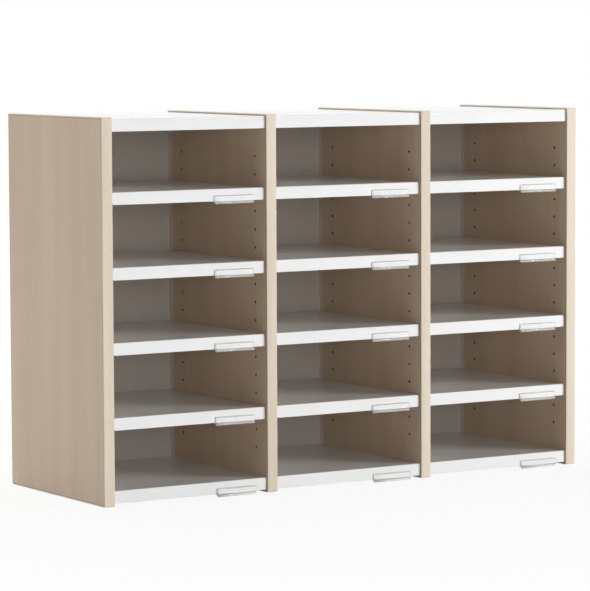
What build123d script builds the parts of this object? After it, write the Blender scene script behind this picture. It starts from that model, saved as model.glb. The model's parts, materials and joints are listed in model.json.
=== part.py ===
from build123d import *
import os

# A literature sorter: four drilled uprights with three columns of sheet-metal trays between them.
# Sizes are in millimetres. X runs across the columns, the front faces -Y and Z is up.
# The origin is on the floor, in the middle of the footprint.

# Carcass
column_names = ("left", "middle", "right")
upright_names = ("left_end_panel", "left_divider", "right_divider", "right_end_panel")
column_width = 305.0
panel_thickness = 20.0
panel_depth = 345.0
band_thickness = 2.0
band_edge_round = 0.8
band_bottom_inner_radius = 1.5
band_top_inner_radius = 0.5
core_corner_ease = 0.3

# Pin holes, in two rows that start above the floor and stop below the top
pin_hole_pitch = 32.0
pin_hole_diameter = 5.0
pin_hole_web = 2.0
front_row_inset = 39.0
rear_row_inset = 50.0
row_bottom_margin = 76.0
row_top_margin = 74.0
shelves_per_column = 4
holes_per_shelf_step = 4
spare_holes_per_end = 2

# Shelf pins: a shank in the hole, a thin collar on the panel and a peg with a flat top
pin_clearance = 0.05
pin_tip_room = 0.5
pin_collar_rim = 1.25
pin_collar_thickness = 1.0
pin_peg_length = 9.0
pin_flat_depth = 1.0

# Trays, folded from sheet: a plate with a deep front lip, two side flanges and a rear flange
sheet_thickness = 1.0
bend_radius = 1.5
lip_height = 21.5
lip_corner_radius = 3.0
lip_end_step = 0.9
hem_height = 8.0
hem_round_share = 0.9
corner_relief = 4.0

# Fixed trays at the top and the bottom
fixed_lip_setback = 3.5
fixed_flange_lift = 3.5
top_recess = 3.0

# Loose trays on pins
loose_lip_setback = 5.0
loose_side_room = 0.5
loose_flange_height = 9.5
loose_rear_lift = 1.0
loose_rear_gap = 1.5

# Back panels, folded from thinner sheet
back_thickness = 0.8
back_recess = 2.5
back_flange_depth = 13.0
back_bend_inner_radius = 2.2
back_edge_gap = 0.2

# Label holders, clipped on a lip's lower edge, and their cards
holder_length = 77.0
holder_wall = 1.0
holder_depth = 7.4
holder_rise = 10.0
holder_drop = 4.5
holder_foot_depth = 2.5
holder_front_round = 1.5
holder_end_gap = 25.0
holder_clip_gap = 0.1
holder_clip_grip = 1.0
holder_floor_gap = 0.5
card_thickness = 0.5
card_gap = 0.1
card_end_gap = 1.5
card_top_gap = 0.4

# Screws
screw_clearance = 0.05
screw_tip_room = 0.5
shelf_screw_diameter = 4.0
shelf_screw_head_diameter = 8.0
shelf_screw_head_height = 2.5
shelf_screw_web = 6.5
shelf_screw_front_inset = 60.0
shelf_screw_rear_inset = 65.0
shelf_screw_stagger = 12.0
back_screw_diameter = 3.5
back_screw_length = 6.0
back_screw_head_diameter = 7.0
back_screw_head_height = 2.0
back_screw_end_inset = 37.5
recess_width_share = 0.16
recess_length_share = 0.6
recess_depth_share = 0.55

# Worked-out sizes
column_count = len(column_names)
hole_count = holes_per_shelf_step * (shelves_per_column - 1) + 2 * spare_holes_per_end + 1
panel_height = row_bottom_margin + (hole_count - 1) * pin_hole_pitch + row_top_margin
unit_width = column_count * column_width + (column_count + 1) * panel_thickness
pin_hole_depth = (panel_thickness - pin_hole_web) / 2
pin_flat_height = pin_hole_diameter / 2 - pin_flat_depth
fixed_flange_height = lip_height - fixed_flange_lift
loose_side_gap = max(pin_collar_thickness, back_thickness) + loose_side_room
toe_gap = holder_drop + holder_floor_gap
back_bend_radius = back_bend_inner_radius + back_thickness
holder_clip_rise = hem_height + holder_clip_grip
card_length = holder_length - 2 * card_end_gap
card_height = holder_rise + holder_clip_gap - card_gap - card_top_gap
pilot_depth = panel_thickness - shelf_screw_web
shelf_screw_length = sheet_thickness + pilot_depth - screw_tip_room

# Worked-out places
label_overhang = max(0, holder_depth - min(fixed_lip_setback, loose_lip_setback))
front_y = (label_overhang - panel_depth) / 2
rear_y = front_y + panel_depth
back_rear_y = rear_y - back_recess
back_front_y = back_rear_y - back_thickness
loose_rear_y = back_rear_y - back_bend_radius - loose_rear_gap
upright_lefts = [i * (column_width + panel_thickness) - unit_width / 2 for i in range(column_count + 1)]
column_lefts = [left + panel_thickness for left in upright_lefts[:-1]]
top_shelf_z = panel_height - top_recess
bottom_shelf_z = toe_gap + lip_height
pin_row_ys = (front_y + front_row_inset, rear_y - rear_row_inset)
pin_hole_zs = [row_bottom_margin + k * pin_hole_pitch for k in range(hole_count)]
pin_zs = pin_hole_zs[spare_holes_per_end::holes_per_shelf_step][:shelves_per_column]
loose_shelf_zs = [z + pin_flat_height + loose_flange_height for z in pin_zs]
left_screw_ys = (front_y + shelf_screw_front_inset, rear_y - shelf_screw_rear_inset)
right_screw_ys = tuple(y + shelf_screw_stagger for y in left_screw_ys)
fixed_screw_zs = [z - fixed_flange_height / 2 for z in (bottom_shelf_z, top_shelf_z)]
back_screw_reach = column_width / 2 - back_screw_end_inset
back_screw_offsets = (-back_screw_reach, 0, back_screw_reach)


def save(piece, name):
    piece.part.label = name
    export_step(piece.part, f"parts/{name}.step")


def upright_outline(left_x, margin, bottom_radius, top_radius):
    # The side view of an upright, or of its core, with its four rounded corners
    with BuildSketch(Plane.YZ.offset(left_x)) as outline:
        with Locations(((front_y + rear_y) / 2, panel_height / 2)):
            Rectangle(panel_depth - 2 * margin, panel_height - 2 * margin)
        fillet(outline.vertices().group_by(Axis.Y)[0], bottom_radius)
        fillet(outline.vertices().group_by(Axis.Y)[-1], top_radius)
    return outline.sketch


def edge_band(left_x):
    # One strip that runs all the way round an upright, with its long outer edges eased
    outer = upright_outline(
        left_x, 0, band_bottom_inner_radius + band_thickness, band_top_inner_radius + band_thickness
    )
    inner = upright_outline(left_x, band_thickness, band_bottom_inner_radius, band_top_inner_radius)
    with BuildPart() as band:
        extrude(outer, amount=panel_thickness)
        extrude(inner, amount=panel_thickness, mode=Mode.SUBTRACT)
        sides = band.faces().filter_by(Axis.X)
        fillet([edge for side in sides for edge in side.outer_wire().edges()], band_edge_round)
    return band


def upright_core(left_x, drill_left, drill_right):
    # The board inside the band, with blind pin holes and screw pilot holes on its inner faces
    outline = upright_outline(
        left_x,
        band_thickness,
        band_bottom_inner_radius + core_corner_ease,
        band_top_inner_radius + core_corner_ease,
    )
    drilled_faces = []
    if drill_left:
        drilled_faces.append((left_x, 1, right_screw_ys))
    if drill_right:
        drilled_faces.append((left_x + panel_thickness, -1, left_screw_ys))
    with BuildPart() as core:
        extrude(outline, amount=panel_thickness)
        for face_x, inward, screw_ys in drilled_faces:
            with BuildSketch(Plane.YZ.offset(face_x)):
                with Locations(*[(y, z) for y in pin_row_ys for z in pin_hole_zs]):
                    Circle(pin_hole_diameter / 2)
            extrude(amount=inward * pin_hole_depth, mode=Mode.SUBTRACT)
            with BuildSketch(Plane.YZ.offset(face_x)):
                with Locations(*[(y, z) for y in screw_ys for z in fixed_screw_zs]):
                    Circle(shelf_screw_diameter / 2 + screw_clearance)
            extrude(amount=inward * pilot_depth, mode=Mode.SUBTRACT)
    return core


def tray(left_x, top_z, tray_rear_y, setback, side_gap, flange_height, rear_height):
    # The front lip is a rounded plate seen from the front, with its lower edge hemmed
    middle_x = left_x + column_width / 2
    lip_y = front_y + setback
    lip_bottom_z = top_z - lip_height
    tray_width = column_width - 2 * side_gap
    lip_width = tray_width - 2 * lip_end_step
    strip_depth = 2 * corner_relief
    side_front_y = lip_y + corner_relief
    side_rear_y = tray_rear_y - corner_relief
    with BuildPart() as folded:
        with BuildSketch(Plane.YZ.offset(middle_x - lip_width / 2)) as lip_profile:
            with BuildLine():
                Polyline(
                    (lip_y, lip_bottom_z),
                    (lip_y, top_z),
                    (lip_y + strip_depth, top_z),
                    (lip_y + strip_depth, top_z - sheet_thickness),
                    (lip_y + sheet_thickness, top_z - sheet_thickness),
                    (lip_y + sheet_thickness, lip_bottom_z + hem_height),
                    (lip_y + 2 * sheet_thickness, lip_bottom_z + hem_height),
                    (lip_y + 2 * sheet_thickness, lip_bottom_z),
                    close=True,
                )
            make_face()
            fillet(lip_profile.vertices().sort_by_distance((lip_y, top_z, 0))[0], bend_radius)
            fillet(lip_profile.vertices().group_by(Axis.Y)[0], sheet_thickness * hem_round_share)
        extrude(amount=lip_width)
        with BuildSketch(Plane.XZ.offset(-lip_y)):
            with Locations((middle_x, top_z - lip_height / 2)):
                RectangleRounded(lip_width, lip_height, lip_corner_radius)
        extrude(amount=-strip_depth, mode=Mode.INTERSECT)
        # The plate with its side flanges
        with BuildSketch(Plane.XZ.offset(-side_rear_y)) as side_profile:
            with Locations((middle_x, top_z)):
                Rectangle(tray_width, flange_height, align=(Align.CENTER, Align.MAX))
            fillet(side_profile.vertices().group_by(Axis.Y)[-1], bend_radius)
            with Locations((middle_x, top_z - sheet_thickness)):
                Rectangle(
                    tray_width - 2 * sheet_thickness,
                    flange_height,
                    align=(Align.CENTER, Align.MAX),
                    mode=Mode.SUBTRACT,
                )
        extrude(amount=side_rear_y - side_front_y)
        # The rear flange
        with BuildSketch(Plane.YZ.offset(middle_x - lip_width / 2)) as rear_profile:
            with BuildLine():
                Polyline(
                    (tray_rear_y - strip_depth, top_z),
                    (tray_rear_y, top_z),
                    (tray_rear_y, top_z - rear_height),
                    (tray_rear_y - sheet_thickness, top_z - rear_height),
                    (tray_rear_y - sheet_thickness, top_z - sheet_thickness),
                    (tray_rear_y - strip_depth, top_z - sheet_thickness),
                    close=True,
                )
            make_face()
            fillet(rear_profile.vertices().sort_by_distance((tray_rear_y, top_z, 0))[0], bend_radius)
        extrude(amount=lip_width)
    return folded


def fixed_tray(left_x, top_z):
    # A tray whose flanges sit against the uprights and the back, drilled for their screws
    screw_z = top_z - fixed_flange_height / 2
    middle_x = left_x + column_width / 2
    plain = tray(
        left_x, top_z, back_front_y, fixed_lip_setback, 0, fixed_flange_height, fixed_flange_height
    )
    with BuildPart() as drilled:
        add(plain.part)
        for face_x, inward, screw_ys in (
            (left_x, 1, left_screw_ys),
            (left_x + column_width, -1, right_screw_ys),
        ):
            with BuildSketch(Plane.YZ.offset(face_x)):
                with Locations(*[(y, screw_z) for y in screw_ys]):
                    Circle(shelf_screw_diameter / 2 + screw_clearance)
            extrude(amount=inward * sheet_thickness, mode=Mode.SUBTRACT)
        with BuildSketch(Plane.XZ.offset(-back_front_y)):
            with Locations(*[(middle_x + offset_x, screw_z) for offset_x in back_screw_offsets]):
                Circle(back_screw_diameter / 2 + screw_clearance)
        extrude(amount=sheet_thickness, mode=Mode.SUBTRACT)
    return drilled


def loose_tray(left_x, top_z):
    # A tray whose side flanges rest on pins, and whose rear flange passes over them
    return tray(
        left_x,
        top_z,
        loose_rear_y,
        loose_lip_setback,
        loose_side_gap,
        loose_flange_height,
        loose_flange_height - loose_rear_lift,
    )


def back_panel(left_x):
    # A flat sheet with a forward flange along each upright, cut back behind the fixed trays
    middle_x = left_x + column_width / 2
    flange_bottom_z = bottom_shelf_z + back_edge_gap
    flange_top_z = top_shelf_z - fixed_flange_height - back_edge_gap
    sheet_bottom_z = toe_gap + back_edge_gap
    sheet_top_z = top_shelf_z - bend_radius - back_edge_gap
    with BuildPart() as sheet:
        with BuildSketch(Plane.XY.offset(flange_bottom_z)) as channel:
            with Locations((middle_x, back_rear_y)):
                Rectangle(column_width, back_flange_depth, align=(Align.CENTER, Align.MAX))
            fillet(channel.vertices().group_by(Axis.Y)[-1], back_bend_radius)
            with BuildSketch(mode=Mode.SUBTRACT) as hollow:
                with Locations((middle_x, back_front_y)):
                    Rectangle(
                        column_width - 2 * back_thickness,
                        back_flange_depth,
                        align=(Align.CENTER, Align.MAX),
                    )
                fillet(hollow.vertices().group_by(Axis.Y)[-1], back_bend_radius - back_thickness)
        extrude(amount=flange_top_z - flange_bottom_z)
        with BuildSketch(Plane.XZ.offset(-back_rear_y)):
            with Locations((middle_x, sheet_bottom_z)):
                Rectangle(
                    column_width - 2 * back_bend_radius,
                    sheet_top_z - sheet_bottom_z,
                    align=(Align.CENTER, Align.MIN),
                )
        extrude(amount=back_thickness)
        with BuildSketch(Plane.XZ.offset(-back_rear_y)):
            with Locations(*[(middle_x + x, z) for x in back_screw_offsets for z in fixed_screw_zs]):
                Circle(back_screw_diameter / 2 + screw_clearance)
        extrude(amount=back_thickness, mode=Mode.SUBTRACT)
    return sheet


def label_holder(left_x, top_z, setback, side_gap):
    # A clear strip: a pocket with a window and a level floor, a hollow foot and a clip behind the lip's hem
    lip_y = front_y + setback
    lip_z = top_z - lip_height
    right_x = left_x + column_width - side_gap - lip_end_step - holder_end_gap
    window_y = lip_y - holder_depth
    foot_z = lip_z - holder_drop
    clip_y = lip_y + 2 * sheet_thickness + holder_clip_gap
    clip_z = lip_z - holder_clip_gap
    foot_y = window_y + holder_foot_depth
    foot_slope = (lip_y - holder_wall - foot_y) / (clip_z - holder_wall - foot_z)
    foot_room_z = clip_z - holder_wall
    foot_room_y = foot_y + (foot_room_z - foot_z - holder_wall) * foot_slope
    with BuildPart() as holder:
        with BuildSketch(Plane.YZ.offset(right_x - holder_length)) as profile:
            with BuildLine():
                Polyline(
                    (window_y, lip_z + holder_rise),
                    (window_y, foot_z),
                    (foot_y, foot_z),
                    (lip_y - holder_wall, clip_z - holder_wall),
                    (clip_y + holder_wall, clip_z - holder_wall),
                    (clip_y + holder_wall, lip_z + holder_clip_rise),
                    (clip_y, lip_z + holder_clip_rise),
                    (clip_y, clip_z),
                    (lip_y, clip_z),
                    (lip_y, lip_z + holder_rise),
                    (lip_y - holder_wall, lip_z + holder_rise),
                    (lip_y - holder_wall, clip_z),
                    (window_y + holder_wall, clip_z),
                    (window_y + holder_wall, lip_z + holder_rise),
                    close=True,
                )
            make_face()
            fillet(profile.vertices().sort_by_distance((window_y, foot_z, 0))[0], holder_front_round)
            with BuildLine():
                Polyline(
                    (window_y + holder_wall, foot_room_z),
                    (window_y + holder_wall, foot_z + holder_wall),
                    (foot_y, foot_z + holder_wall),
                    (foot_room_y, foot_room_z),
                    close=True,
                )
            make_face(mode=Mode.SUBTRACT)
        extrude(amount=holder_length)
    return holder


def label_card(left_x, top_z, setback, side_gap):
    # A blank card that stands on the pocket's floor, against the wall on the lip
    right_x = left_x + column_width - side_gap - lip_end_step - holder_end_gap
    card_y = front_y + setback - holder_wall - card_gap
    card_z = top_z - lip_height - holder_clip_gap + card_gap
    with BuildPart() as card:
        with BuildSketch(Plane.XY.offset(card_z)):
            with Locations((right_x - holder_length / 2, card_y)):
                Rectangle(card_length, card_thickness, align=(Align.CENTER, Align.MAX))
        extrude(amount=card_height)
    return card


def pin_rows(face_x, inward):
    # The pins of one column's side: shank in the hole, collar on the face, flat-topped peg
    pin_places = [(y, z) for y in pin_row_ys for z in pin_zs]
    with BuildPart() as rows:
        with BuildSketch(Plane.YZ.offset(face_x)):
            with Locations(*pin_places):
                Circle(pin_hole_diameter / 2 - pin_clearance)
        extrude(amount=-inward * (pin_hole_depth - pin_tip_room))
        with BuildSketch(Plane.YZ.offset(face_x)):
            with Locations(*pin_places):
                Circle(pin_hole_diameter / 2 + pin_collar_rim)
        extrude(amount=inward * pin_collar_thickness)
        with BuildSketch(Plane.YZ.offset(face_x)):
            with Locations(*pin_places):
                Circle(pin_hole_diameter / 2)
            with Locations(*[(y, z + pin_flat_height) for y, z in pin_places]):
                Rectangle(
                    pin_hole_diameter,
                    pin_hole_diameter,
                    align=(Align.CENTER, Align.MIN),
                    mode=Mode.SUBTRACT,
                )
        extrude(amount=inward * pin_peg_length)
    return rows.part


def screws(plane, places, toward_head, diameter, length, head_diameter, head_height):
    # Pan heads on the plane and shanks behind it, with a cross recess in each head
    with BuildPart() as row:
        with BuildSketch(plane):
            with Locations(*places):
                Circle(head_diameter / 2)
        extrude(amount=toward_head * head_height)
        with BuildSketch(plane):
            with Locations(*places):
                Circle(diameter / 2)
        extrude(amount=-toward_head * length)
        with BuildSketch(plane.offset(toward_head * head_height)):
            with Locations(*places):
                Rectangle(head_diameter * recess_length_share, head_diameter * recess_width_share)
                Rectangle(head_diameter * recess_width_share, head_diameter * recess_length_share)
        extrude(amount=-toward_head * head_height * recess_depth_share, mode=Mode.SUBTRACT)
    return row.part


def shelf_screw_set(face_x, inward, screw_ys):
    # The screws through one side's flanges, with their heads inside the trays
    return screws(
        Plane.YZ.offset(face_x + inward * sheet_thickness),
        [(y, z) for y in screw_ys for z in fixed_screw_zs],
        inward,
        shelf_screw_diameter,
        shelf_screw_length,
        shelf_screw_head_diameter,
        shelf_screw_head_height,
    )


def back_screw_set(middle_x):
    # The screws through one back panel, with their heads behind it
    return screws(
        Plane.XZ.offset(-back_rear_y),
        [(middle_x + x, z) for x in back_screw_offsets for z in fixed_screw_zs],
        -1,
        back_screw_diameter,
        back_screw_length,
        back_screw_head_diameter,
        back_screw_head_height,
    )


os.makedirs("parts", exist_ok=True)

# Uprights and their edge bands
for number, (name, left_x) in enumerate(zip(upright_names, upright_lefts)):
    save(upright_core(left_x, number > 0, number < column_count), name)
    save(edge_band(left_x), f"{name}_edge_band")

# Trays, backs, label holders and cards
for column, left_x in zip(column_names, column_lefts):
    save(fixed_tray(left_x, top_shelf_z), f"{column}_top_shelf")
    save(fixed_tray(left_x, bottom_shelf_z), f"{column}_bottom_shelf")
    save(back_panel(left_x), f"{column}_back_panel")
    save(
        label_card(left_x, bottom_shelf_z, fixed_lip_setback, 0),
        f"{column}_bottom_label_card",
    )
    for level, shelf_z in enumerate(loose_shelf_zs, start=1):
        save(loose_tray(left_x, shelf_z), f"{column}_shelf_{level}")
        save(
            label_holder(left_x, shelf_z, loose_lip_setback, loose_side_gap),
            f"{column}_label_holder_{level}",
        )
        save(
            label_card(left_x, shelf_z, loose_lip_setback, loose_side_gap),
            f"{column}_label_card_{level}",
        )

with BuildPart() as bottom_label_holders:
    add([label_holder(left_x, bottom_shelf_z, fixed_lip_setback, 0).part for left_x in column_lefts])
save(bottom_label_holders, "bottom_label_holders")

# Shelf pins, in the two uprights beside each column
with BuildPart() as shelf_pins:
    add([pin_rows(left_x, 1) for left_x in column_lefts])
    add([pin_rows(left_x + column_width, -1) for left_x in column_lefts])
save(shelf_pins, "shelf_pins")

# Screws that hold the fixed trays to the uprights
with BuildPart() as shelf_screws:
    add([shelf_screw_set(left_x, 1, left_screw_ys) for left_x in column_lefts])
    add([shelf_screw_set(left_x + column_width, -1, right_screw_ys) for left_x in column_lefts])
save(shelf_screws, "shelf_screws")

# Screws that hold the backs to the fixed trays
with BuildPart() as back_screws:
    add([back_screw_set(left_x + column_width / 2) for left_x in column_lefts])
save(back_screws, "back_screws")
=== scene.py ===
import json
import math

import bmesh
import bpy
from mathutils import Matrix, Vector


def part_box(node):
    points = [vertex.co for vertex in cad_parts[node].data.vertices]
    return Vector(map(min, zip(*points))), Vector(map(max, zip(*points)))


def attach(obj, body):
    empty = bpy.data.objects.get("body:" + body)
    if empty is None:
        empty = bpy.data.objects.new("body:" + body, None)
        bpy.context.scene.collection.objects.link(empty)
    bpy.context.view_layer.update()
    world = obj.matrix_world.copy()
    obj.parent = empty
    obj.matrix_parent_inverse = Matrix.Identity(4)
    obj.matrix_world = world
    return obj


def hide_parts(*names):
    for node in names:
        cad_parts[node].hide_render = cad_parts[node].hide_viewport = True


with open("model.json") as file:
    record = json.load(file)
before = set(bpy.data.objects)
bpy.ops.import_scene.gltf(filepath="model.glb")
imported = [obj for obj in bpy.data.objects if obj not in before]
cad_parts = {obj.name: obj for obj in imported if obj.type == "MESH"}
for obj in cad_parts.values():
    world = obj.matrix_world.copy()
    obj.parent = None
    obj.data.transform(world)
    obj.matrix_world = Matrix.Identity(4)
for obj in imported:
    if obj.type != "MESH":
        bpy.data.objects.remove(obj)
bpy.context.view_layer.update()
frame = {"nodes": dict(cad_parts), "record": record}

# Literature sorter: finishes, small hardware, studio and camera. Metres, front towards -Y, Z up.
scene = bpy.context.scene
scene.view_settings.view_transform = "Standard"
print("frame loaded:", len(frame["nodes"]), "nodes")

columnNames = ("left", "middle", "right")
uprightNames = ("left_end_panel", "left_divider", "right_divider", "right_end_panel")
levelNumbers = range(1, 5)


# Node helpers: a value or another node's output goes into a socket the same way
def plug(tree, socket, value):
    if isinstance(value, bpy.types.NodeSocket):
        tree.links.new(value, socket)
    else:
        socket.default_value = value


def addNode(tree, kind, settings=None, inputs=None):
    made = tree.nodes.new("ShaderNode" + kind)
    for name, value in (settings or {}).items():
        setattr(made, name, value)
    for name, value in (inputs or {}).items():
        plug(tree, made.inputs[name], value)
    return made


def calc(tree, operation, *terms):
    return addNode(tree, "Math", {"operation": operation}, dict(enumerate(terms))).outputs[0]


def mixColour(tree, factor, first, second):
    # Sockets 6 and 7 of a Mix node take its colours, and output 2 gives the mixed one
    return addNode(tree, "Mix", {"data_type": "RGBA"}, {0: factor, 6: first, 7: second}).outputs[2]


def mixVector(tree, factor, first, second):
    # Sockets 4 and 5 take the vectors, and output 1 gives the mixed one
    return addNode(tree, "Mix", {"data_type": "VECTOR"}, {0: factor, 4: first, 5: second}).outputs[1]


def spread(tree, value, fromLow, fromHigh, toLow=0.0, toHigh=1.0):
    inputs = {
        "Value": value,
        "From Min": fromLow,
        "From Max": fromHigh,
        "To Min": toLow,
        "To Max": toHigh,
    }
    return addNode(tree, "MapRange", {"interpolation_type": "SMOOTHSTEP"}, inputs).outputs[0]


def noise(tree, vector, scale, detail, roughness=0.5):
    inputs = {"Vector": vector, "Scale": scale, "Detail": detail, "Roughness": roughness}
    return addNode(tree, "TexNoise", None, inputs).outputs[0]


def stretchedNoise(tree, vector, scale, detail, roughness=0.5):
    stretched = addNode(tree, "Mapping", None, {"Vector": vector, "Scale": scale}).outputs[0]
    return noise(tree, stretched, 1, detail, roughness)


def splitVector(tree, vector):
    return addNode(tree, "SeparateXYZ", None, {0: vector}).outputs


def fromMiddle(tree, value, low, high):
    return calc(tree, "ABSOLUTE", calc(tree, "SUBTRACT", value, (low + high) / 2))


def newGroup(name, inputs, outputs):
    tree = bpy.data.node_groups.new(name, "ShaderNodeTree")
    for label, kind in inputs.items():
        tree.interface.new_socket(name=label, in_out="INPUT", socket_type=kind)
    for label in outputs:
        tree.interface.new_socket(name=label, in_out="OUTPUT", socket_type="NodeSocketFloat")
    return tree, tree.nodes.new("NodeGroupInput").outputs, tree.nodes.new("NodeGroupOutput").inputs


def useGroup(tree, group, **inputs):
    made = addNode(tree, "Group", {"node_tree": group})
    for name, value in inputs.items():
        plug(tree, made.inputs[name], value)
    return made.outputs


def newFinish(name):
    material = bpy.data.materials.new(name)
    material.use_nodes = True
    tree = material.node_tree
    where = addNode(tree, "TexCoord").outputs["Object"]
    return material, tree, tree.nodes["Principled BSDF"], where


def addBump(tree, shader, height, depth):
    inputs = {"Strength": 1.0, "Distance": depth, "Height": height}
    plug(tree, shader.inputs["Normal"], addNode(tree, "Bump", None, inputs).outputs[0])


def blendShaders(tree, factor, first, second):
    blend = addNode(tree, "MixShader", None, {0: factor})
    tree.links.new(first.outputs[0], blend.inputs[1])
    tree.links.new(second.outputs[0], blend.inputs[2])
    tree.links.new(blend.outputs[0], tree.nodes["Material Output"].inputs["Surface"])


# Decor grain with its length along Z: slow clouds, long streaks and short pores
grainForm = {
    "Cloud": {"scale": (22, 22, 1.3), "detail": 3, "reach": (0.3, 0.7)},
    "Streak": {"scale": (190, 190, 5), "detail": 4, "reach": (0.3, 0.7)},
    "Pore": {"scale": (950, 950, 38), "detail": 2, "reach": (0.6, 0.72)},
}


def grainGroup():
    tree, given, made = newGroup("boardGrain", {"Vector": "NodeSocketVector"}, grainForm)
    for name, form in grainForm.items():
        drawn = stretchedNoise(tree, given["Vector"], form["scale"], form["detail"])
        plug(tree, made[name], spread(tree, drawn, *form["reach"]))
    return tree


# Powder coat: fine orange peel, and a slow change of gloss
coatForm = {
    "peelDetail": 2,
    "peelRoughness": 0.4,
    "glossScale": 14,
    "glossDetail": 4,
    "glossReach": (0.3, 0.7),
}


def coatGroup():
    inputs = {"Vector": "NodeSocketVector", "Fineness": "NodeSocketFloat"}
    tree, given, made = newGroup("coatPeel", inputs, ("Peel", "Gloss"))
    where = given["Vector"]
    peel = noise(tree, where, given["Fineness"], coatForm["peelDetail"], coatForm["peelRoughness"])
    gloss = noise(tree, where, coatForm["glossScale"], coatForm["glossDetail"])
    plug(tree, made["Peel"], peel)
    plug(tree, made["Gloss"], spread(tree, gloss, *coatForm["glossReach"]))
    return tree


# Faint marks of handling: soft blots with fine breaks
smudgeForm = {
    "blotScale": 11,
    "blotDetail": 5,
    "blotRoughness": 0.6,
    "blotReach": (0.5, 0.75),
    "breakScale": 160,
    "breakDetail": 3,
    "breakReach": (0.35, 0.65),
    "breakShare": (0.4, 1.0),
}


def smudgeGroup():
    tree, given, made = newGroup("handlingMarks", {"Vector": "NodeSocketVector"}, ("Smudge",))
    form, where = smudgeForm, given["Vector"]
    blots = noise(tree, where, form["blotScale"], form["blotDetail"], form["blotRoughness"])
    breaks = noise(tree, where, form["breakScale"], form["breakDetail"])
    blots = spread(tree, blots, *form["blotReach"])
    breaks = spread(tree, breaks, *form["breakReach"], *form["breakShare"])
    plug(tree, made["Smudge"], calc(tree, "MULTIPLY", blots, breaks))
    return tree


# Plated small hardware: a cloudy plating and fine tool lines
platingForm = {
    "cloudScale": 420,
    "cloudDetail": 4,
    "cloudReach": (0.3, 0.7),
    "lineScale": (9000, 400, 400),
    "lineDetail": 1,
    "lineDepth": 0.00001,
}


def platingGroup():
    tree, given, made = newGroup("platedSteel", {"Vector": "NodeSocketVector"}, ("Cloud", "Line"))
    form, where = platingForm, given["Vector"]
    cloud = noise(tree, where, form["cloudScale"], form["cloudDetail"])
    plug(tree, made["Cloud"], spread(tree, cloud, *form["cloudReach"]))
    plug(tree, made["Line"], stretchedNoise(tree, where, form["lineScale"], form["lineDetail"]))
    return tree


boardGrain = grainGroup()
coatPeel = coatGroup()
handlingMarks = smudgeGroup()
platedSteel = platingGroup()
print("shared effects built")

# Laminated boards: beige decor on the faces, bare chipboard inside the drilled holes, darkened with
# painted shade of the deep holes
laminate = {
    "pale": (0.67, 0.53, 0.40, 1),
    "deep": (0.60, 0.465, 0.34, 1),
    "pore": (0.51, 0.385, 0.275, 1),
    "streakShare": 0.45,
    "poreShare": 0.55,
    "seam": (0.20, 0.14, 0.095, 1),
    "seamWidth": 0.0009,
    # chip colours: bare chipboard darkened with painted shade of the deep holes
    "chipShaded": (0.13, 0.085, 0.05, 1),
    "chipDeepShade": (0.045, 0.028, 0.017, 1),
    "chipScale": 900,
    "chipDetail": 3,
    "chipReach": (0.35, 0.65),
    "decorDepth": 0.0004,
    "streakRelief": 0.3,
    "poreDepth": 0.00006,
    "roughness": (0.42, 0.56),
    "smudgeShine": 0.08,
}


def makeLaminate():
    material, tree, shader, where = newFinish("beigeLaminate")
    low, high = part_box(uprightNames[0])
    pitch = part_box(uprightNames[1])[0].x - low.x
    grain = useGroup(tree, boardGrain, Vector=where)
    streaks = calc(tree, "MULTIPLY", grain["Streak"], laminate["streakShare"])
    pores = calc(tree, "MULTIPLY", grain["Pore"], laminate["poreShare"])
    tone = mixColour(tree, grain["Cloud"], laminate["deep"], laminate["pale"])
    tone = mixColour(tree, streaks, tone, laminate["pale"])
    tone = mixColour(tree, pores, tone, laminate["pore"])
    # A dark line on the board where it meets its edge band, in depth and in height
    part = splitVector(tree, where)
    for axis in (1, 2):
        seamFrom = (high[axis] - low[axis]) / 2 - laminate["seamWidth"]
        away = fromMiddle(tree, part[axis], low[axis], high[axis])
        tone = mixColour(tree, calc(tree, "GREATER_THAN", away, seamFrom), tone, laminate["seam"])
    # The uprights stand at one pitch, so X folds back onto the first board
    inBoard = calc(tree, "WRAP", part[0], low.x + pitch, low.x)
    away = fromMiddle(tree, inBoard, low.x, high.x)
    inside = calc(tree, "LESS_THAN", away, (high.x - low.x) / 2 - laminate["decorDepth"])
    # Bare chipboard inside the holes, in colours darkened with painted shade of the deep holes
    chips = noise(tree, where, laminate["chipScale"], laminate["chipDetail"])
    chips = spread(tree, chips, *laminate["chipReach"])
    shadedChipboard = mixColour(tree, chips, laminate["chipDeepShade"], laminate["chipShaded"])
    plug(tree, shader.inputs["Base Color"], mixColour(tree, inside, tone, shadedChipboard))
    smudge = useGroup(tree, handlingMarks, Vector=where)["Smudge"]
    shine = calc(tree, "MULTIPLY", smudge, laminate["smudgeShine"])
    rough = spread(tree, grain["Streak"], 0, 1, *laminate["roughness"])
    plug(tree, shader.inputs["Roughness"], calc(tree, "SUBTRACT", rough, shine))
    relief = calc(tree, "MULTIPLY", grain["Streak"], laminate["streakRelief"])
    relief = calc(tree, "SUBTRACT", relief, grain["Pore"])
    addBump(tree, shader, relief, laminate["poreDepth"])
    return material


# Plastic edge bands: paler than the boards, with a printed grain along the strip
edgeBand = {
    "pale": (0.775, 0.68, 0.565, 1),
    "deep": (0.69, 0.59, 0.475, 1),
    "pore": (0.59, 0.475, 0.36, 1),
    "streakShare": 0.4,
    "poreShare": 0.35,
    "lyingFrom": 0.7,
    "roughness": (0.36, 0.46),
    "smudgeShine": 0.06,
    "printDepth": 0.00003,
}


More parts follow.
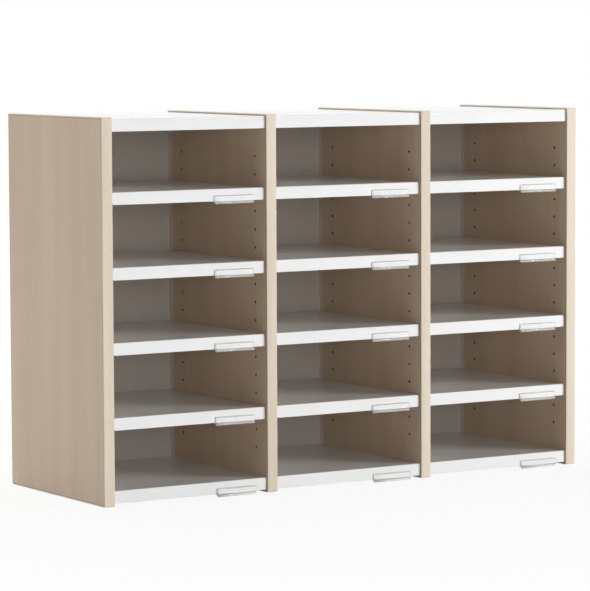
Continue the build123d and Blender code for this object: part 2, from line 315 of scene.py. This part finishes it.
def makeEdgeBand():
    material, tree, shader, where = newFinish("beigeEdgeBand")
    # The upper and lower runs lie flat, so their grain turns from Z to Y
    part = splitVector(tree, where)
    facing = splitVector(tree, addNode(tree, "NewGeometry").outputs["Normal"])
    lying = calc(tree, "GREATER_THAN", calc(tree, "ABSOLUTE", facing[2]), edgeBand["lyingFrom"])
    turned = addNode(tree, "CombineXYZ", None, {0: part[0], 1: part[2], 2: part[1]}).outputs[0]
    grain = useGroup(tree, boardGrain, Vector=mixVector(tree, lying, where, turned))
    streaks = calc(tree, "MULTIPLY", grain["Streak"], edgeBand["streakShare"])
    pores = calc(tree, "MULTIPLY", grain["Pore"], edgeBand["poreShare"])
    tone = mixColour(tree, grain["Cloud"], edgeBand["deep"], edgeBand["pale"])
    tone = mixColour(tree, streaks, tone, edgeBand["pale"])
    tone = mixColour(tree, pores, tone, edgeBand["pore"])
    plug(tree, shader.inputs["Base Color"], tone)
    smudge = useGroup(tree, handlingMarks, Vector=where)["Smudge"]
    shine = calc(tree, "MULTIPLY", smudge, edgeBand["smudgeShine"])
    rough = spread(tree, grain["Cloud"], 0, 1, *edgeBand["roughness"])
    plug(tree, shader.inputs["Roughness"], calc(tree, "SUBTRACT", rough, shine))
    addBump(tree, shader, grain["Streak"], edgeBand["printDepth"])
    return material


# Powder coats: white on the trays, warm grey on the backs
shelfCoat = {
    "name": "whitePowderCoat",
    "pale": (0.87, 0.87, 0.87, 1),
    "dull": (0.85, 0.848, 0.845, 1),
    "roughness": (0.19, 0.22),
    "smudgeHaze": 0.015,
    "fineness": 900.0,
    "peelDepth": 0.00001,
}
backCoat = {
    "name": "warmGreyPowderCoat",
    "pale": (0.68, 0.63, 0.585, 1),
    "dull": (0.668, 0.618, 0.573, 1),
    "roughness": (0.34, 0.40),
    "smudgeHaze": 0.015,
    "fineness": 700.0,
    "peelDepth": 0.00002,
}


def makeCoat(look):
    material, tree, shader, where = newFinish(look["name"])
    coat = useGroup(tree, coatPeel, Vector=where, Fineness=look["fineness"])
    smudge = useGroup(tree, handlingMarks, Vector=where)["Smudge"]
    tone = mixColour(tree, coat["Gloss"], look["pale"], look["dull"])
    plug(tree, shader.inputs["Base Color"], tone)
    haze = calc(tree, "MULTIPLY", smudge, look["smudgeHaze"])
    rough = spread(tree, coat["Gloss"], 0, 1, *look["roughness"])
    plug(tree, shader.inputs["Roughness"], calc(tree, "ADD", rough, haze))
    addBump(tree, shader, coat["Peel"], look["peelDepth"])
    return material


# Bright zinc on the pins and the screws
zincPins = {
    "name": "zincPins",
    "bright": (0.68, 0.68, 0.67, 1),
    "dull": (0.52, 0.52, 0.51, 1),
    "roughness": (0.2, 0.36),
}
zincScrews = {
    "name": "zincScrews",
    "bright": (0.66, 0.66, 0.64, 1),
    "dull": (0.48, 0.48, 0.46, 1),
    "roughness": (0.24, 0.4),
}


def makeZinc(look):
    material, tree, shader, where = newFinish(look["name"])
    plated = useGroup(tree, platedSteel, Vector=where)
    tone = mixColour(tree, plated["Cloud"], look["dull"], look["bright"])
    plug(tree, shader.inputs["Base Color"], tone)
    rough = spread(tree, plated["Cloud"], 0, 1, *look["roughness"])
    plug(tree, shader.inputs["Roughness"], rough)
    shader.inputs["Metallic"].default_value = 1
    addBump(tree, shader, plated["Line"], platingForm["lineDepth"])
    return material


# Clear extruded plastic of the label holders, slightly milky, with a painted dark line on the upper rim
# that stands in for the shade seen through the rim by refraction
clearPlastic = {
    "tint": (0.96, 0.96, 0.96, 1),
    "paintedRimShade": (0.4, 0.4, 0.405, 1),
    "paintedRimName": "paintedRimLine",
    "passed": (0.985, 0.985, 0.985, 1),
    "transmission": 0.84,
    "ior": 1.49,
    "roughness": (0.03, 0.12),
    "lineScale": (20, 900, 900),
    "lineDetail": 2,
    "lineDepth": 0.000012,
}


def makeClearPlastic():
    material, tree, shader, where = newFinish("clearPlastic")
    look = clearPlastic
    # The upper rim gets a painted dark line, standing in for the shade seen through the rim by
    # refraction
    rim = addNode(tree, "Attribute", {"attribute_name": look["paintedRimName"]}).outputs["Fac"]
    plug(tree, shader.inputs["Base Color"], mixColour(tree, rim, look["tint"], look["paintedRimShade"]))
    shader.inputs["Transmission Weight"].default_value = look["transmission"]
    shader.inputs["IOR"].default_value = look["ior"]
    smudge = useGroup(tree, handlingMarks, Vector=where)["Smudge"]
    plug(tree, shader.inputs["Roughness"], spread(tree, smudge, 0, 1, *look["roughness"]))
    drawLines = stretchedNoise(tree, where, look["lineScale"], look["lineDetail"])
    addBump(tree, shader, drawLines, look["lineDepth"])
    # Lamps and matt surfaces light the card straight through the thin walls
    thin = addNode(tree, "BsdfTransparent", None, {"Color": look["passed"]})
    ray = addNode(tree, "LightPath").outputs
    lighting = calc(tree, "MAXIMUM", ray["Is Shadow Ray"], ray["Is Diffuse Ray"])
    blendShaders(tree, lighting, shader, thin)
    return material


# Uncoated white card
labelCard = {
    "pale": (0.90, 0.90, 0.895, 1),
    "fibre": (0.84, 0.835, 0.82, 1),
    "fibreScale": (1500, 2500, 2500),
    "fibreDetail": 4,
    "fibreRoughness": 0.6,
    "fibreReach": (0.3, 0.7),
    "fibreShare": 0.6,
    "fibreDepth": 0.00003,
    "roughness": (0.88, 0.78),
    "specular": 0.3,
}


def makeCard():
    material, tree, shader, where = newFinish("whiteCard")
    look = labelCard
    fibres = stretchedNoise(
        tree, where, look["fibreScale"], look["fibreDetail"], look["fibreRoughness"]
    )
    fibres = spread(tree, fibres, *look["fibreReach"])
    shown = calc(tree, "MULTIPLY", fibres, look["fibreShare"])
    plug(tree, shader.inputs["Base Color"], mixColour(tree, shown, look["pale"], look["fibre"]))
    smudge = useGroup(tree, handlingMarks, Vector=where)["Smudge"]
    plug(tree, shader.inputs["Roughness"], spread(tree, smudge, 0, 1, *look["roughness"]))
    shader.inputs["Specular IOR Level"].default_value = look["specular"]
    addBump(tree, shader, fibres, look["fibreDepth"])
    return material


finishes = {
    "laminate": makeLaminate(),
    "edge_band": makeEdgeBand(),
    "shelf_paint": makeCoat(shelfCoat),
    "back_paint": makeCoat(backCoat),
    "pin_steel": makeZinc(zincPins),
    "screw_steel": makeZinc(zincScrews),
    "clear_plastic": makeClearPlastic(),
    "card": makeCard(),
}
for subpart in frame["record"]["subparts"]:
    slots = frame["nodes"][subpart["node"]].data.materials
    slots.clear()
    slots.append(finishes[subpart["material_slot"]])

smoothBelow = math.radians(35)


def asMesh(shape, name):
    mesh = bpy.data.meshes.new(name)
    shape.to_mesh(mesh)
    shape.free()
    return mesh


# New pieces: a bmesh becomes an object that rides on a body and stands for a CAD node
def finishPiece(shape, name, slot, body, *nodes):
    mesh = asMesh(shape, name)
    mesh.shade_smooth()
    mesh.set_sharp_from_angle(angle=smoothBelow)
    mesh.materials.append(finishes[slot])
    piece = bpy.data.objects.new(name, mesh)
    scene.collection.objects.link(piece)
    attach(piece, body)
    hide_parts(*nodes)


# Label holders: the extruded strip with its edges eased and its upper rim marked for the painted dark
# rim line
holderStrip = {
    "mergeWithin": 1e-6,
    "flatWithin": math.radians(0.5),
    "sharpFrom": math.radians(40),
    "edgeRound": 0.0004,
    "segments": 3,
    "rimHeight": 0.0008,
}


def easedCopy(node):
    shape = bmesh.new()
    shape.from_mesh(frame["nodes"][node].data)
    bmesh.ops.remove_doubles(shape, verts=shape.verts, dist=holderStrip["mergeWithin"])
    bmesh.ops.dissolve_limit(
        shape,
        angle_limit=holderStrip["flatWithin"],
        verts=shape.verts,
        edges=shape.edges,
    )
    closed = [edge for edge in shape.edges if edge.is_manifold]
    sharp = [edge for edge in closed if edge.calc_face_angle() > holderStrip["sharpFrom"]]
    bmesh.ops.bevel(
        shape,
        geom=sharp,
        offset=holderStrip["edgeRound"],
        affect="EDGES",
        segments=holderStrip["segments"],
        profile=0.5,
        material=-1,
        clamp_overlap=True,
    )
    rimFrom = max(vert.co.z for vert in shape.verts) - holderStrip["rimHeight"]
    bmesh.ops.bisect_plane(
        shape,
        geom=shape.verts[:] + shape.edges[:] + shape.faces[:],
        plane_co=(0, 0, rimFrom),
        plane_no=(0, 0, 1),
    )
    # Faces on the upper rim carry the painted dark rim line
    onPaintedRim = shape.faces.layers.float.new(clearPlastic["paintedRimName"])
    for face in shape.faces:
        face[onPaintedRim] = float(face.calc_center_median().z > rimFrom)
    return shape


def makeHolder(node, name, body):
    finishPiece(easedCopy(node), name, "clear_plastic", body, node)


for column in columnNames:
    for level in levelNumbers:
        tray = f"{column}_tray_{level}"
        makeHolder(f"{column}_label_holder_{level}", f"{column}_label_strip_{level}", tray)
makeHolder("bottom_label_holders", "bottom_label_strips", "carcass")
print("label holders eased")

spinMerge = 1e-7


# Turned hardware: a half section of (radius, height) points, low end first, spun about Z
def spun(section, steps):
    shape = bmesh.new()
    points = [shape.verts.new((radius, 0, height)) for radius, height in section]
    edges = [shape.edges.new(pair) for pair in zip(points, points[1:])]
    bmesh.ops.spin(
        shape,
        geom=points + edges,
        cent=(0, 0, 0),
        axis=(0, 0, 1),
        angle=math.tau,
        steps=steps,
        use_merge=True,
    )
    bmesh.ops.remove_doubles(shape, verts=shape.verts, dist=spinMerge)
    bmesh.ops.recalc_face_normals(shape, faces=shape.faces)
    return shape


def repeated(mesh, places):
    shape = bmesh.new()
    for place in places:
        before = len(shape.verts)
        shape.from_mesh(mesh)
        shape.verts.ensure_lookup_table()
        bmesh.ops.transform(shape, matrix=place, verts=shape.verts[before:])
    return shape


def upAlong(direction):
    return Vector(direction).to_track_quat("Z", "Y").to_matrix().to_4x4()


# Where the columns and the uprights stand, read from the frame
uprightBoxes = [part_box(f"{name}_edge_band") for name in uprightNames]
frontY, rearY = uprightBoxes[0][0].y, uprightBoxes[0][1].y
columnSides = [(left[1].x, right[0].x) for left, right in zip(uprightBoxes, uprightBoxes[1:])]

# Shelf pins: shank, collar and a peg with a flat top
shelfPin = {
    "radius": 0.0025,
    "shank": 0.0085,
    "fit": 0.00005,
    "collarRadius": 0.00375,
    "collar": 0.001,
    "peg": 0.009,
    "flat": 0.0015,
    "ease": 0.0003,
    "steps": 24,
    "frontInset": 0.039,
    "rearInset": 0.050,
    "belowTray": 0.011,
}


def makePin():
    radius, ease, shank = shelfPin["radius"], shelfPin["ease"], shelfPin["shank"]
    collar, collarRadius, pegEnd = shelfPin["collar"], shelfPin["collarRadius"], shelfPin["peg"]
    shankRadius = radius - shelfPin["fit"]
    body = spun(
        [
            (0, -shank),
            (shankRadius - ease, -shank),
            (shankRadius, ease - shank),
            (shankRadius, 0),
            (collarRadius, 0),
            (collarRadius, collar - ease),
            (collarRadius - ease, collar),
            (0, collar),
        ],
        shelfPin["steps"],
    )
    peg = spun(
        [
            (0, collar / 2),
            (radius, collar / 2),
            (radius, pegEnd - ease),
            (radius - ease, pegEnd),
            (0, pegEnd),
        ],
        shelfPin["steps"],
    )
    # The peg lies along Z here and its flat faces +Y, which the placing turns upwards
    cut = bmesh.ops.bisect_plane(
        peg,
        geom=peg.verts[:] + peg.edges[:] + peg.faces[:],
        plane_co=(0, shelfPin["flat"], 0),
        plane_no=(0, 1, 0),
        clear_outer=True,
    )
    flatEdges = [item for item in cut["geom_cut"] if isinstance(item, bmesh.types.BMEdge)]
    bmesh.ops.edgenet_fill(peg, edges=flatEdges)
    bmesh.ops.recalc_face_normals(peg, faces=peg.faces)
    body.from_mesh(asMesh(peg, "shelfPinPeg"))
    return asMesh(body, "shelfPin")


def makePins():
    rows = (frontY + shelfPin["frontInset"], rearY - shelfPin["rearInset"])
    places = []
    for column, sides in zip(columnNames, columnSides):
        for level in levelNumbers:
            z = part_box(f"{column}_shelf_{level}")[1].z - shelfPin["belowTray"]
            for side, inward in zip(sides, (1, -1)):
                turn = Matrix(((0, 0, inward), (inward, 0, 0), (0, 1, 0))).to_4x4()
                places += [Matrix.Translation((side, y, z)) @ turn for y in rows]
    pins = repeated(makePin(), places)
    finishPiece(pins, "shelf_pin_set", "pin_steel", "carcass", "shelf_pins")


makePins()
print("shelf pins turned")

# Pan-head screws with a cross recess
shelfScrew = {
    "shank": 0.002,
    "length": 0.014,
    "head": 0.004,
    "height": 0.0025,
    "frontInset": 0.060,
    "rearInset": 0.065,
    "stagger": 0.012,
}
backScrew = {
    "shank": 0.00175,
    "length": 0.006,
    "head": 0.0035,
    "height": 0.002,
    "endInset": 0.0375,
}
screwForm = {
    "steps": 28,
    "domeSteps": 6,
    "wallShare": 0.35,
    "slotShare": 0.2,
    "armShare": 1.15,
    "depthShare": 0.6,
    "clearShare": 0.1,
    "taper": 0.55,
}
flangeHeight = 0.018
sheetThickness = 0.001


def makeRecess(spec):
    # A cross that tapers downwards, from a grid of nine squares without its corners
    head, height = spec["head"], spec["height"]
    arm, slot = head * screwForm["armShare"] / 2, head * screwForm["slotShare"] / 2
    halfway = 0.5  # parts the outer grid lines from the inner ones
    cross = bmesh.new()
    bmesh.ops.create_grid(cross, x_segments=3, y_segments=3, size=1)
    corners = []
    for face in cross.faces:
        x, y = face.calc_center_median().xy
        if min(abs(x), abs(y)) > halfway:
            corners.append(face)
    bmesh.ops.delete(cross, geom=corners, context="FACES")
    for vert in cross.verts:
        for axis in (0, 1):
            reach = arm if abs(vert.co[axis]) > halfway else slot
            vert.co[axis] = math.copysign(reach, vert.co[axis])
        vert.co.z = height * (1 + screwForm["clearShare"])
    deep = bmesh.ops.extrude_face_region(cross, geom=cross.faces[:])["geom"]
    low = [item for item in deep if isinstance(item, bmesh.types.BMVert)]
    down = -height * (screwForm["depthShare"] + screwForm["clearShare"])
    bmesh.ops.translate(cross, vec=(0, 0, down), verts=low)
    bmesh.ops.scale(cross, vec=(screwForm["taper"], screwForm["taper"], 1), verts=low)
    bmesh.ops.recalc_face_normals(cross, faces=cross.faces)
    return cross


def makeScrew(spec, name):
    head, shank, height, length = (spec[key] for key in ("head", "shank", "height", "length"))
    wall = height * screwForm["wallShare"]
    section = [(0, -length), (shank, -length), (shank, 0), (head, 0)]
    for step in range(screwForm["domeSteps"]):
        angle = step * math.pi / 2 / screwForm["domeSteps"]
        section.append((head * math.cos(angle), wall + (height - wall) * math.sin(angle)))
    section.append((0, height))
    screw = asMesh(spun(section, screwForm["steps"]), name)
    whole = bpy.data.objects.new(name, screw)
    cutter = bpy.data.objects.new(name + "Cutter", asMesh(makeRecess(spec), name + "Cutter"))
    scene.collection.objects.link(whole)
    scene.collection.objects.link(cutter)
    cut = whole.modifiers.new("recess", "BOOLEAN")
    cut.operation, cut.solver, cut.object = "DIFFERENCE", "EXACT", cutter
    evaluated = whole.evaluated_get(bpy.context.evaluated_depsgraph_get())
    cutScrew = bpy.data.meshes.new_from_object(evaluated)
    bpy.data.objects.remove(whole)
    bpy.data.objects.remove(cutter)
    return cutScrew


def makeScrews():
    rows = (frontY + shelfScrew["frontInset"], rearY - shelfScrew["rearInset"])
    inTray, inBack = [], []
    for column, (leftX, rightX) in zip(columnNames, columnSides):
        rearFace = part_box(f"{column}_back_panel")[1].y
        middleX = (leftX + rightX) / 2
        reach = (rightX - leftX) / 2 - backScrew["endInset"]
        for shelf in ("bottom", "top"):
            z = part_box(f"{column}_{shelf}_shelf")[1].z - flangeHeight / 2
            for side, inward, stagger in ((leftX, 1, 0), (rightX, -1, shelfScrew["stagger"])):
                turn = upAlong((inward, 0, 0))
                for y in rows:
                    place = (side + inward * sheetThickness, y + stagger, z)
                    inTray.append(Matrix.Translation(place) @ turn)
            for offset in (-reach, 0, reach):
                place = (middleX + offset, rearFace, z)
                inBack.append(Matrix.Translation(place) @ upAlong((0, 1, 0)))
    trayScrews = repeated(makeScrew(shelfScrew, "shelfScrew"), inTray)
    backScrews = repeated(makeScrew(backScrew, "backScrew"), inBack)
    finishPiece(trayScrews, "shelf_screw_set", "screw_steel", "carcass", "shelf_screws")
    finishPiece(backScrews, "back_screw_set", "screw_steel", "carcass", "back_screws")


makeScrews()
print("screws turned")

# Studio: a pale floor that keeps a soft shadow, a white surround and large soft panels
studio = {
    "floorSize": 40.0,
    "floor": (0.92, 0.92, 0.92, 1),
    "floorRoughness": 0.9,
    "floorSpecular": 0.1,
    "white": (1, 1, 1, 1),
    "whiteLevel": 1.0,
    "whiteShare": (0.91, 1.0),
    "fade": (0.8, 1.6),
    "surround": 0.12,
    "aim": (0, 0, 0.33),
}
panels = {
    "keyPanel": {"place": (6.1, -5.7, 1.5), "size": (3.4, 2.5), "watts": 600},
    "frontPanel": {"place": (-3.4, -8.4, 0.9), "size": (3.0, 2.4), "watts": 115},
    "topPanel": {"place": (0.0, 0.9, 2.7), "size": (2.2, 1.6), "watts": 42},
    "leftPanel": {"place": (-3.4, 0.3, 1.0), "size": (2.2, 2.0), "watts": 26.5},
    "backPanel": {"place": (0.6, 3.6, 1.3), "size": (2.4, 2.0), "watts": 44},
}


def seenDirectly(tree):
    # 1 for what the camera sees, straight or in gloss and clear plastic, 0 for light off a matt surface
    ray = addNode(tree, "LightPath").outputs
    seen = calc(tree, "MAXIMUM", ray["Is Glossy Ray"], ray["Is Transmission Ray"])
    seen = calc(tree, "MAXIMUM", seen, ray["Is Camera Ray"])
    underOne = 0.5  # the depth counts 0, 1, 2
    return calc(tree, "MULTIPLY", seen, calc(tree, "LESS_THAN", ray["Diffuse Depth"], underOne))


def makeFloor():
    shape = bmesh.new()
    bmesh.ops.create_grid(shape, x_segments=1, y_segments=1, size=studio["floorSize"] / 2)
    floor = bpy.data.objects.new("floor", asMesh(shape, "floor"))
    scene.collection.objects.link(floor)
    material, tree, shader, where = newFinish("paleFloor")
    shader.inputs["Base Color"].default_value = studio["floor"]
    shader.inputs["Roughness"].default_value = studio["floorRoughness"]
    shader.inputs["Specular IOR Level"].default_value = studio["floorSpecular"]
    glow = {"Color": studio["white"], "Strength": studio["whiteLevel"]}
    white = addNode(tree, "Emission", None, glow)
    away = addNode(tree, "VectorMath", {"operation": "LENGTH"}, {0: where}).outputs["Value"]
    share = spread(tree, away, *studio["fade"], *studio["whiteShare"])
    blendShaders(tree, calc(tree, "MULTIPLY", seenDirectly(tree), share), shader, white)
    floor.data.materials.append(material)


def makeSurround():
    # White to the camera and in reflections, while it lights the part at a plain level
    world = bpy.data.worlds.new("softSurround")
    world.use_nodes = True
    scene.world = world
    tree = world.node_tree
    background = tree.nodes["Background"]
    background.inputs["Color"].default_value = studio["white"]
    level = spread(tree, seenDirectly(tree), 0, 1, studio["surround"], studio["whiteLevel"])
    plug(tree, background.inputs["Strength"], level)


def makePanels():
    for name, panel in panels.items():
        light = bpy.data.lights.new(name, "AREA")
        light.shape = "RECTANGLE"
        light.size, light.size_y = panel["size"]
        light.energy = panel["watts"]
        lamp = bpy.data.objects.new(name, light)
        lamp.location = panel["place"]
        towards = Vector(studio["aim"]) - lamp.location
        lamp.rotation_euler = towards.to_track_quat("-Z", "Y").to_euler()
        lamp.visible_glossy = False
        scene.collection.objects.link(lamp)


makeFloor()
makeSurround()
makePanels()
print("studio lit")

# Camera at the photograph's viewing angle
viewpoint = {
    "place": (-3.0736, -4.9024, 0.81),
    "target": (-0.00856, 0, 0.3269),
    "roll": math.radians(-0.231),
    "lens": 194.73,
    "sensor": 36,
    "clipEnd": 100,
}


def makeCamera():
    data = bpy.data.cameras.new("viewCamera")
    data.sensor_width = viewpoint["sensor"]
    data.lens = viewpoint["lens"]
    data.clip_end = viewpoint["clipEnd"]
    camera = bpy.data.objects.new("viewCamera", data)
    camera.location = viewpoint["place"]
    towards = Vector(viewpoint["target"]) - camera.location
    roll = Matrix.Rotation(viewpoint["roll"], 3, "Z")
    camera.rotation_euler = (towards.to_track_quat("-Z", "Y").to_matrix() @ roll).to_euler()
    scene.collection.objects.link(camera)
    scene.camera = camera


makeCamera()
print("camera set")
